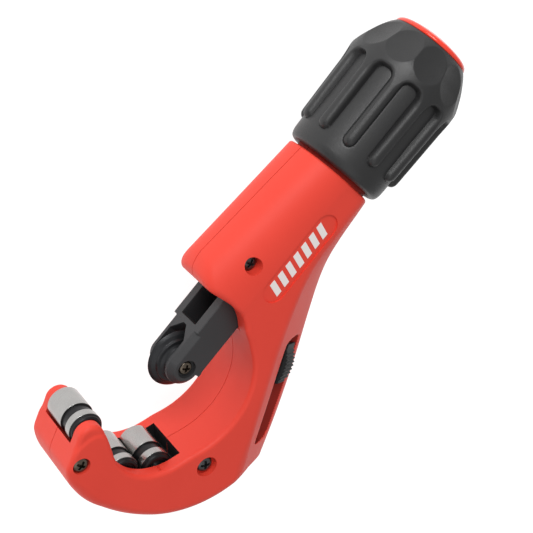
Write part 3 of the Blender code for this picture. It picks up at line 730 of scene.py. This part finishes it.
def screw_head(node, at, seat, head_r, high, turn, body, material):
    """A pan head with a cross recess, and the shank under it."""
    cl, cf = at
    top = seat + high
    c, s = math.cos(turn), math.sin(turn)
    bulge = head_r * 1.9

    def field(x, y, z):
        dx, dy = x - cl, y - cf
        radius = np.hypot(dx, dy)
        dome = np.sqrt(radius**2 + (z - top + bulge) ** 2) - bulge
        head = round_and(round_and(radius - head_r, dome, 0.5), seat - z, 0.15)
        shank = np.maximum(radius - 1.5, np.maximum(z - seat - 0.5, seat - 4 - z))
        cross = driver_recess(c * dx + s * dy, c * dy - s * dx, top, z, 0.62 * head_r, 0.17 * head_r, 1.5)
        return round_and(np.minimum(head, shank), -cross, 0.12)

    reach = head_r + 0.4
    low = (cl - reach, cf - reach, seat - 4.4)
    high_corner = (cl + reach, cf + reach, top + 0.5)
    contour_piece(node + "_fine", field, low, high_corner, 0.13, body, node, (material,))


def screws():
    for key, (seat, head_r, high, _, turn) in SCREWS.items():
        finish = WARM_SCREW if key == "tip" else SCREW
        screw_head("body_screw_" + key, SCREW_AT[key], seat, head_r, high, turn, "housing", finish)
    screw_head("wheel_axle_screw", WHEEL_C[:2], 6.95, 2.6, 1.35, 0.5, "carriage_unit", WARM_SCREW)


ROLLER_R = 6.17
ROLLER_HALF = 9.9
ROLLER_BORE = 4.15


def roller_profile():
    """A guide roller with the groove for a pipe's flare, and stepped behind its far rim."""
    r, half, bore = ROLLER_R, ROLLER_HALF, ROLLER_BORE
    return [
        (-half, bore, 0), (-half, r - 0.5, 0.15), (-half + 0.45, r, 0.25), (1.35, r, 0.12),
        (1.5, r - 0.7, 0.1), (5.1, r - 0.7, 0.1), (5.25, r, 0.12), (8.25, r, 0.1), (8.35, r - 0.3, 0.06),
        (8.75, r - 0.3, 0.06), (8.8, r - 0.5, 0.06), (9.5, r - 0.62, 0.2), (half, r - 1.15, 0.2),
        (half, bore + 0.5, 0.1), (half - 0.5, bore + 0.3, 0.1), (half - 0.5, bore, 0.0), (-half, bore, 0),
    ]


def roller_zone(height, radius):
    """Bright steel on the running surface, black in the groove and on the near end."""
    return 0 if radius > ROLLER_R - 0.28 and height < 8.3 else 1


def bush_profile(side):
    low, high = sorted((side * 6.6, side * 9.3))
    return [
        (low, 1.62, 0), (low, 4.05, 0.2), (high, 4.05, 0.3), (high, 3.2, 0.1), (high - 0.35, 3.1, 0.1),
        (high - 0.35, 2.2, 0.1), (high, 2.1, 0.1), (high, 1.62, 0), (low, 1.62, 0),
    ]


def rollers():
    across = (0, 0, 1)
    for key, (l, f, _) in ROLLERS.items():
        body = f"roller_{key}_unit"
        turned(
            f"roller_{key}_fine", roller_profile(), (l, f, 0.0), across, body, "roller_" + key,
            (STEEL, BLACK), 120, roller_zone,
        )
        for side, word in ((1, "near"), (-1, "far")):
            node = f"roller_bush_{key}_{word}"
            turned(
                node + "_fine", bush_profile(side), (l, f, 0.0), across, body, node,
                (BLACK,), 72,
            )


KNOB_RIBS = 11
RIB_TURN = math.radians(14.0)
RIB_R = 21.0
RIB_HALF = 2.5
RIB_LOW = 9.3
PANEL_TOP = 36.4
PANEL_CORNER = 2.7
KNOB_LOW = -0.8
KNOB_RING = 0.32
KNOB_STEPS = KNOB_RIBS * 48
SCALLOP_L = 45.9
SCALLOP_HALF = 6.9
SCALLOP_DEEP = 1.45


def knob_band(x):
    """The radius over the ribs and the shoulder."""
    stations = (
        (-1.0, 17.6), (0.0, 18.5), (0.8, 19.0), (2.0, 19.7), (6.0, 21.2), (9.0, 21.6), (14.0, 21.8),
        (24.0, 22.1), (34.0, 22.35), (38.0, 22.4), (41.5, 22.1), (44.0, 21.4), (47.0, 20.2), (50.0, 18.3),
        (52.0, 16.8), (53.7, 15.4),
    )
    return smooth_between(x, *zip(*stations))


def knob_floor(x):
    """The radius between the ribs, and of the plain collar under them."""
    stations = (
        (-1.0, 17.6), (0.0, 18.5), (0.8, 18.9), (2.0, 19.2), (4.0, 19.35), (7.0, 19.4), (20.0, 19.4),
        (37.0, 19.7), (60.0, 19.7),
    )
    return smooth_between(x, *zip(*stations))


def rib_depth(x, from_rib):
    """How far a place is inside a rib or the shoulder, from the edge of the recess between two ribs."""
    side = RIB_HALF - from_rib * RIB_R + PANEL_CORNER
    top = x - PANEL_TOP + PANEL_CORNER
    past = np.hypot(np.maximum(side, 0), np.maximum(top, 0))
    panel = past + np.minimum(np.maximum(side, top), 0) - PANEL_CORNER
    nose = RIB_HALF - np.hypot(np.maximum(RIB_LOW - x, 0), from_rib * RIB_R)
    return np.where(x < RIB_LOW, np.minimum(panel, nose), panel)


def knob_radius(x, turn):
    """The knob's outer surface: rounded ribs, arched recesses between them and scallops on the shoulder."""
    pitch = math.tau / KNOB_RIBS
    from_rib = np.abs((turn - RIB_TURN + pitch / 2) % pitch - pitch / 2)
    depth = rib_depth(x, from_rib)
    fall = 2.2 - 1.1 * smooth_step(x, 31.0, 35.5)
    rise = np.sqrt(np.clip(1 - (1 - np.clip(depth / fall, 0, 1)) ** 2, 0, 1))
    band = knob_band(x)
    floor = np.minimum(knob_floor(x), band)
    crease = 0.16 * np.exp(-((depth / 0.22) ** 2)) * (x < 37.5)
    radius = floor + (band - floor) * rise - crease
    along = (x - SCALLOP_L) / SCALLOP_HALF
    deep = SCALLOP_DEEP * np.clip(1 - along**2, 0, None) - 0.02
    scallop = (band - deep) / np.cos(1.25 * (pitch / 2 - from_rib))
    return np.where(np.abs(along) < 1, np.minimum(radius, scallop), radius)


def knob():
    turns = np.linspace(0, math.tau, KNOB_STEPS, endpoint=False)
    lip = (KNOB_LOW, -0.68, -0.5, -0.25)
    rings = []
    for x in (*lip, *np.arange(0.0, 53.4, KNOB_RING), 53.5, 53.7):
        edge = 0.9 * min(x, 0) ** 2
        rings.append((x, knob_radius(np.full(KNOB_STEPS, x), turns) - edge))
    rings += [
        (53.75, 14.9), (53.6, 14.3), (53.2, 14.1), (34.0, 13.6), (34.0, 4.35), (7.1, 4.35), (7.1, 15.3),
        (0.0, 15.4), (-0.6, 15.9), (KNOB_LOW, 16.6),
    ]
    points = []
    for x, radius in rings:
        place = [np.full(KNOB_STEPS, x), radius * np.sin(turns), radius * np.cos(turns)]
        points.append(np.stack(place, axis=1))
    mesh_piece(
        "knob_fine", np.concatenate(points), rings_to_quads(len(rings), KNOB_STEPS, True), "knob_unit",
        ("knob",), (CHARCOAL,), 50.0,
    )


def end_cap():
    """The domed cap with its skirt inside the knob and the peg that carries the spare wheel."""
    profile = [
        (39.5, 0, 0), (39.5, 1.4, 0.2), (50.3, 1.5, 0.1), (50.3, 2.6, 0.1), (54.9, 2.6, 0), (54.9, 12.3, 0),
        (45.0, 12.4, 0), (45.0, 13.1, 0.2), (53.85, 13.3, 0), (53.85, 15.0, 0.3), (54.6, 15.2, 0.5),
        (55.6, 14.5, 1.2), (56.9, 10.6, 2.5), (57.5, 5.0, 2.5), (57.6, 0, 0),
    ]
    turned(
        "end_cap_fine", profile, (0, 0, 0), (1, 0, 0), "cap_unit", "end_cap", (RED_CAP,), 128
    )


CARRIAGE_BACK = -5.0
CARRIAGE_FRONT = 8.3
CARRIAGE_HALF = 8.5
FORK_END = -75.6


def carriage_field(x, y, z):
    """The carriage's two fork arms, its closed middle with the window, and its bores."""
    from_axle = np.hypot(x - WHEEL_C[0], y - WHEEL_C[1])
    head = from_axle - (WHEEL_C[1] + 5.4)
    bar = np.maximum(np.maximum(CARRIAGE_BACK - y, y - CARRIAGE_FRONT), WHEEL_C[0] - x)
    side = np.maximum(np.minimum(bar, head), x + 22.0)
    wall = np.abs(z) - CARRIAGE_HALF
    body = round_and(side, wall, 0.35)
    front = np.maximum(y - CARRIAGE_FRONT, np.where(x < WHEEL_C[0], head, -20.0))
    bevel = np.where(x < FORK_END + 0.4, (front + wall) / math.sqrt(2) + 1.5, -20.0)
    body = round_and(body, bevel, 0.2)
    for cut in (
        round_and(np.abs(z) - 1.0 - 4.0 * np.clip((FORK_END - x) / 4.6, 0, 1), x - FORK_END, 0.2),
        box_field(x, y, z, (-73.4, -3.6, -5.0), (-59.0, 14, 4.6), 0.2),
        rod_field(np.hypot(y, z), x, -70, -10, 3.6),
        box_field(x, y, z, (-31, -8, -6.8), (-23, 12, 6.8)),
        rod_field(from_axle, z, -8.2, 12, 1.6),
        rod_field(from_axle, z, 6.9, 12, 3.5),
    ):
        body = round_and(body, -cut, 0.2)
    return body


def carriage():
    contour_piece(
        "carriage_fine", carriage_field, (-95.2, -6.2, -9.4), (-21.0, 9.4, 9.4), 0.3, "carriage_unit",
        "carriage", (CARBON,),
    )


def wheel_profile():
    """A cutting wheel: a stepped hub on each side of a thin tapered edge."""
    half = (
        (4.5, 4.6, 0), (4.5, 5.9, 0.2), (4.1, 6.2, 0.15), (3.2, 6.3, 0.1), (2.5, 7.3, 0.15),
        (2.3, 8.4, 0.1), (1.5, 8.7, 0.15), (0.9, 10.0, 0.2), (0.05, 11.0, 0.03),
    )
    line = [(-a, r, c) for a, r, c in half] + [(a, r, c) for a, r, c in reversed(half)]
    return line + [(-4.5, 4.6, 0)]


def wheels():
    turned(
        "cutting_wheel_fine", wheel_profile(), (WHEEL_C[0], WHEEL_C[1], 0), (0, 0, 1), "wheel_unit",
        "cutting_wheel", (BLACK_WHEEL,), 128,
    )
    turned(
        "spare_wheel_fine", wheel_profile(), (node_centre("spare_wheel")[0], 0, 0), (1, 0, 0), "cap_unit",
        "spare_wheel", (BLACK_WHEEL,), 96,
    )


PAD_MIDDLE = 11.4
PAD_HALF = 8.3
PAD_SLANT = 0.35
TOOTH_PITCH = 1.6
TOOTH_HIGH = 0.26


def slider_field(x, y, z):
    """The reamer's thumb pad, which follows the bevel and swells out of it, with its bar behind."""
    along, out = ream_frame(x, y)
    slanted = along + PAD_SLANT * (z - 7.5) - PAD_MIDDLE
    crown = 1 - ((slanted - 1.9) / 7.8) ** 2
    teeth = TOOTH_HIGH * np.cos(slanted * math.tau / TOOTH_PITCH) * smooth_step(crown, 0.05, 0.4)
    top = back_field(x, y, z) + 0.35 - 1.3 * np.clip(crown, 0, 1)
    slab = box_field(along, out, z, (1.8, -1.6, 4.9), (20.2, 90, 10.0), 2.1)
    pad = round_and(np.maximum(np.abs(slanted) - PAD_HALF, slab), top - teeth, 0.35)
    root = box_field(along, out, z, (6.4, -5.2, 0.6), (20.0, -1.3, 7.4), 0.2)
    bar = box_field(along, out, z, (6.4, -5.6, 0.6), (32.0, -1.3, 4.6), 0.2)
    hole = np.hypot(along - 27.5, out + 3.6) - 1.0
    return np.maximum(np.minimum(np.minimum(pad, root), bar), -np.maximum(hole, 2.0 - z))


def slider():
    c, s = math.cos(REAM_ANGLE), math.sin(REAM_ANGLE)
    places = []
    for along, out in ((1, -6), (1, 14), (33, 14), (33, -6)):
        places.append((REAM_AT[0] - c * along + s * out, REAM_AT[1] - s * along - c * out))
    low = np.min(places, axis=0) - 1
    high = np.max(places, axis=0) + 1
    contour_piece(
        "reamer_slider_fine", slider_field, (*low, 0.1), (*high, 10.6), 0.3, "reamer_unit", "reamer_slider",
        (PAD,),
    )


def finish_cad_nodes():
    """The CAD nodes that show as they are take a finish of their own."""
    finishes = {
        "feed_nut": BRASS, "thrust_washer_lower": BRASS, "thrust_washer_upper": BRASS,
        "wheel_bearing_cage": BRASS, "spare_bearing_cage": BRASS, "knob_screw": BLACK,
    }
    for name, obj in frame["nodes"].items():
        if obj.hide_render:
            continue
        obj.data.materials.clear()
        obj.data.materials.append(finishes.get(name, DULL_STEEL))


# Stage


def stage():
    """A plain pale floor that is lit evenly, so that the tool stands out as in a product picture."""
    size = 3.0
    mesh = bpy.data.meshes.new("floor")
    corners = [(-size, -size, 0), (size, -size, 0), (size, size, 0), (-size, size, 0)]
    mesh.from_pydata(corners, [], [(0, 1, 2, 3)])
    floor = bpy.data.objects.new("floor", mesh)
    floor.location.z = CAD_BOX[0][2] - 0.0005
    bpy.context.scene.collection.objects.link(floor)
    material, _, shader = nodes_of("floor_paper")
    shader.inputs["Base Color"].default_value = (0.25, 0.25, 0.25, 1)
    shader.inputs["Roughness"].default_value = 0.9
    shader.inputs["Emission Color"].default_value = (1, 1, 1, 1)
    shader.inputs["Emission Strength"].default_value = 0.93
    mesh.materials.append(material)


def area_light(name, place, target, power, size):
    data = bpy.data.lights.new(name, "AREA")
    data.energy = power
    data.shape = "DISK"
    data.size = size
    light = bpy.data.objects.new(name, data)
    light.location = place
    light.rotation_euler = (Vector(target) - Vector(place)).to_track_quat("-Z", "Y").to_euler()
    bpy.context.scene.collection.objects.link(light)


def lights():
    world = bpy.data.worlds.new("studio")
    world.use_nodes = True
    background = world.node_tree.nodes["Background"]
    background.inputs["Color"].default_value = (1, 1, 1, 1)
    background.inputs["Strength"].default_value = 0.45
    bpy.context.scene.world = world
    middle = (0, 0, 0.02)
    area_light("key", (0.38, 0.72, 0.5), middle, 5.1, 0.5)
    area_light("fill", (-0.5, 0.2, 0.9), middle, 1.2, 0.9)
    bpy.context.scene.view_settings.view_transform = "Standard"


# The camera's right, down and forward directions in tool axes, the tool's origin measured along them from the
# camera in millimetres, and the focal length as a share of the image's width
CAMERA_AXES = ((0.627, -0.574, 0.527), (-0.779, -0.444, 0.443), (-0.020, -0.688, -0.725))
ORIGIN_FROM_CAMERA = (23.53, -35.28, 459.36)
FOCAL_SHARE = 2.439


def camera():
    u, _, vt = np.linalg.svd(np.array(CAMERA_AXES))
    right, down, forward = u @ vt
    place = -(u @ vt).T @ np.array(ORIGIN_FROM_CAMERA)
    data = bpy.data.cameras.new("camera")
    data.sensor_width = 36.0
    data.lens = data.sensor_width * FOCAL_SHARE
    data.clip_start = 0.01
    obj = bpy.data.objects.new("camera", data)
    rotation = Matrix([right, -down, -forward]).transposed()
    obj.matrix_world = Matrix.Translation(TOOL + Vector(place) * MM) @ rotation.to_4x4()
    bpy.context.scene.collection.objects.link(obj)
    bpy.context.scene.camera = obj


def main():
    shells()
    printed_mark()
    screws()
    rollers()
    knob()
    end_cap()
    carriage()
    wheels()
    slider()
    finish_cad_nodes()
    stage()
    lights()
    camera()


main()
